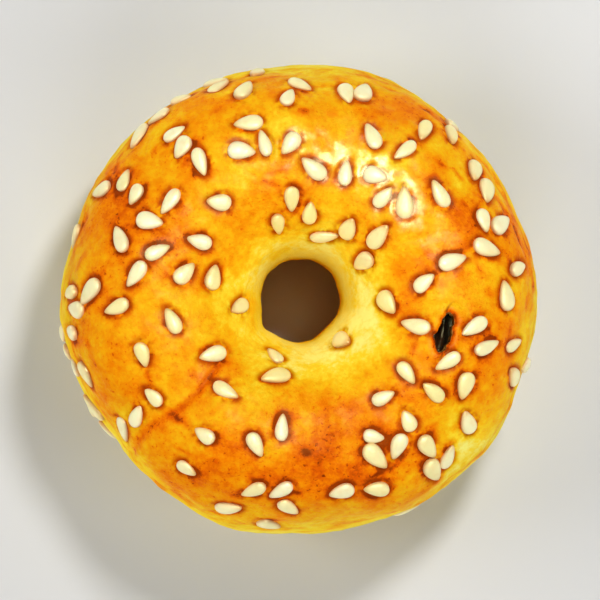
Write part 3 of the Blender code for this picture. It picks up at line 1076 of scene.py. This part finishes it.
def dough_material():
    """Short dough from pale to dark brown, glossy where it is glazed, with flecks and crumb, halos of
    browning and painted contact shade round the seeds, and painted shade in the hairline cracks.
    """
    s = Shader("baked_short_dough")
    # Browning, with painted shade and a painted highlight in it
    brown_and_painted_light = s.value("browning_and_painted_light")
    glaze = s.value("glaze")
    mottle = s.math("MULTIPLY_ADD", s.noise(*MOTTLE_NOISE), MOTTLE_SHARE, -MOTTLE_SHARE / 2)
    mottle = s.math("ADD", mottle, -SPECKLE_SHARE / 2)
    mottle = s.math("MULTIPLY_ADD", s.noise(*SPECKLE_NOISE), SPECKLE_SHARE, mottle)
    mottle = s.math("MULTIPLY", mottle, s.span(glaze, *MOTTLE_BY_GLAZE))
    freckles = s.span(s.noise(*FRECKLE_NOISE), *FRECKLE_SPAN)
    freckles = s.math("MULTIPLY", freckles, s.span(brown_and_painted_light, *FRECKLES_BY_BROWN))
    fine = s.span(s.noise(*FINE_NOISE), *FINE_SPAN)
    fine = s.math("MULTIPLY", fine, s.span(glaze, *FINE_BY_GLAZE))
    # Halos of browning and painted contact shade round the seeds, broken up by noise and kept to the glaze
    seed_halo_shade = s.math("MULTIPLY", s.value("seed_halo_shade"), s.span(s.noise(HALO_SHADE_NOISE_SIZE), *HALO_SHADE_SPAN))
    seed_halo_shade = s.math("MULTIPLY", seed_halo_shade, s.span(glaze, *HALO_SHADE_BY_GLAZE))
    tone = s.math("ADD", s.math("ADD", brown_and_painted_light, mottle), s.math("ADD", freckles, fine))
    tone = s.math("MULTIPLY_ADD", seed_halo_shade, HALO_BROWN_AND_SHADE, tone, clamp=True)
    colour = s.mix(s.math("MULTIPLY", seed_halo_shade, HALO_SHADE_SHARE), s.ramp(tone, CRUST_COLOURS), colour_of(*HALO_BROWN_AND_SHADE_COLOUR))
    # Painted shade in the hairline cracks
    colour = s.mix(s.math("MULTIPLY", s.value("crack_shade"), CRACK_SHADE_SHARE), colour, colour_of(*CRACK_SHADE_COLOUR))
    crumbs = s.span(s.noise(*CRUMB_NOISE), *CRUMB_SPAN)
    crumb = s.mix(crumbs, colour_of(*CRUMB_COLOUR), colour_of(*CRUMB_DARK_COLOUR))
    colour = s.mix(s.span(s.value("inside"), *INSIDE_SPAN), colour, crumb)
    rough = s.math("MULTIPLY_ADD", s.noise(*CRUST_ROUGH_NOISE), CRUST_ROUGH_SHARE, -CRUST_ROUGH_SHARE / 2)
    gloss = s.span(glaze, *ROUGHNESS_BY_GLAZE)
    grain = s.grain(CRUST_BUMPS)
    grain = s.bump(s.span(s.noise(*PORE_NOISE), *PORE_SPAN), PORE_DEPTH, PORE_STRENGTH, grain)
    grain = s.bump(s.span(s.cracks(NET_SIZE), *NET_SPAN), NET_DEPTH, NET_STRENGTH, grain)
    s.set(Base_Color=colour, Roughness=s.math("ADD", gloss, rough), Normal=grain)
    blotches = s.span(s.noise(*SHINE_NOISE), *SHINE_SPAN)
    s.set(Coat_Weight=s.math("MULTIPLY", s.value("shine"), blotches), Coat_Roughness=0.25, Coat_IOR=1.45)
    s.set(Specular_IOR_Level=0.035, Specular_Tint=colour_of(1.0, 0.80, 0.30))
    return s.material


def seed_material():
    """Hulled sesame: creamy, satin, toasted tan at the tip, with painted shade on each seed's lower sides and
    on the seeds down the slope to the hole.
    """
    s = Shader("hulled_sesame")
    # Toast, with painted shade added on the slope to the hole
    toast_and_shade = s.value("toast_and_shade")
    cream = s.mix(toast_and_shade, colour_of(*SEED_COLOUR), colour_of(*SEED_TOAST_AND_SHADE_COLOUR))
    patches = s.span(s.noise(*SEED_PATCH_NOISE), *SEED_PATCH_SPAN)
    cream = s.mix(patches, cream, colour_of(*SEED_TAN_COLOUR))
    tip = s.math("MULTIPLY", s.value("tip"), s.span(toast_and_shade, *TIP_BY_TOAST))
    cream = s.mix(tip, cream, colour_of(*SEED_TAN_COLOUR))
    # Painted shade on each seed's lower sides
    cream = s.mix(s.math("MULTIPLY", s.value("margin_shade"), MARGIN_SHADE_SHARE), cream, colour_of(*SEED_MARGIN_SHADE_COLOUR))
    rough = s.span(s.noise(SEED_ROUGH_SIZE), *SEED_ROUGH_SPAN)
    s.set(Base_Color=cream, Roughness=rough, Normal=s.grain(SEED_BUMPS))
    s.set(Specular_IOR_Level=0.45, Subsurface_Weight=0.12, Subsurface_Scale=0.0006)
    return s.material


def paste_material():
    """Sticky date paste: almost black, with reddish fibres and a wet gloss."""
    s = Shader("date_paste")
    fibres = s.span(s.noise(*FIBRE_NOISE), *FIBRE_SPAN)
    s.set(Base_Color=s.mix(fibres, colour_of(*PASTE_COLOUR), colour_of(*PASTE_FIBRE_COLOUR)))
    s.set(Roughness=s.span(s.noise(WET_SIZE), *WET_SPAN), Normal=s.grain(PASTE_BUMPS))
    s.set(Coat_Weight=0.2, Coat_Roughness=0.2)
    return s.material


def floor_material():
    s = Shader("pale_floor")
    tint = s.mix(s.noise(*FLOOR_NOISE), *(colour_of(*colour) for colour in FLOOR_COLOURS))
    s.set(Base_Color=tint, Roughness=0.9, Specular_IOR_Level=0.0)
    return s.material


def lay_floor():
    data = bpy.data.meshes.new("floor")
    side = FLOOR_SIZE / 2
    corners = [(-side, -side, FLOOR_HEIGHT), (side, -side, FLOOR_HEIGHT), (side, side, FLOOR_HEIGHT)]
    data.from_pydata(corners + [(-side, side, FLOOR_HEIGHT)], [], [(0, 1, 2, 3)])
    data.materials.append(floor_material())
    floor = bpy.data.objects.new("floor", data)
    bpy.context.scene.collection.objects.link(floor)


def direction(around, above):
    """A unit vector at an angle round from +X and an angle above the floor, in degrees."""
    around, above = math.radians(around), math.radians(above)
    return Vector((math.cos(above) * math.cos(around), math.cos(above) * math.sin(around), math.sin(above)))


def aim(obj, target, way, distance):
    obj.location = target + way * distance
    obj.rotation_euler = way.to_track_quat("Z", "Y").to_euler()


def add_light(name, around, above, distance, size, power, part):
    data = bpy.data.lights.new(name, "AREA")
    data.shape = "DISK"
    data.size = size
    data.energy = power
    light = bpy.data.objects.new(name, data)
    if part == "GLOSS":
        data.color = GLOSS_COLOUR
    light.visible_glossy = part == "GLOSS"
    light.visible_diffuse = part == "DIFFUSE"
    bpy.context.scene.collection.objects.link(light)
    aim(light, Vector((0, 0, HEIGHT / 2)), direction(around, above), distance)


def light_studio():
    for settings in LIGHTS:
        add_light(*settings)
    world = bpy.data.worlds.new("studio")
    bpy.context.scene.world = world
    world.use_nodes = True
    sky = world.node_tree.nodes["Background"]
    sky.inputs["Color"].default_value = (1, 1, 1, 1)
    sky.inputs["Strength"].default_value = WORLD_STRENGTH
    bpy.context.scene.view_settings.view_transform = "Standard"


def set_camera():
    data = bpy.data.cameras.new("camera")
    data.sensor_width = SENSOR_WIDTH
    data.lens = SENSOR_WIDTH * CAMERA_DISTANCE / VIEW_WIDTH
    camera = bpy.data.objects.new("camera", data)
    bpy.context.scene.collection.objects.link(camera)
    way = direction(CAMERA_AROUND, CAMERA_ABOVE)
    camera.location = Vector((0, 0, HEIGHT / 2)) + way * CAMERA_DISTANCE
    side = Vector((1, 0, 0)) - way * way.x
    side.normalize()
    camera.rotation_euler = Matrix((side, way.cross(side), way)).transposed().to_euler()
    bpy.context.scene.camera = camera


def finish_piece(piece, slot, *nodes):
    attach(piece, "root")
    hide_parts(*nodes)


places = seed_places()
finish_piece(build_dough(places, dough_material()), "dough", "dough_ring")
finish_piece(build_seeds(places, seed_material()), "sesame", "dough_ring")
finish_piece(build_paste(paste_material()), "date_paste", "date_filling")
lay_floor()
light_studio()
set_camera()
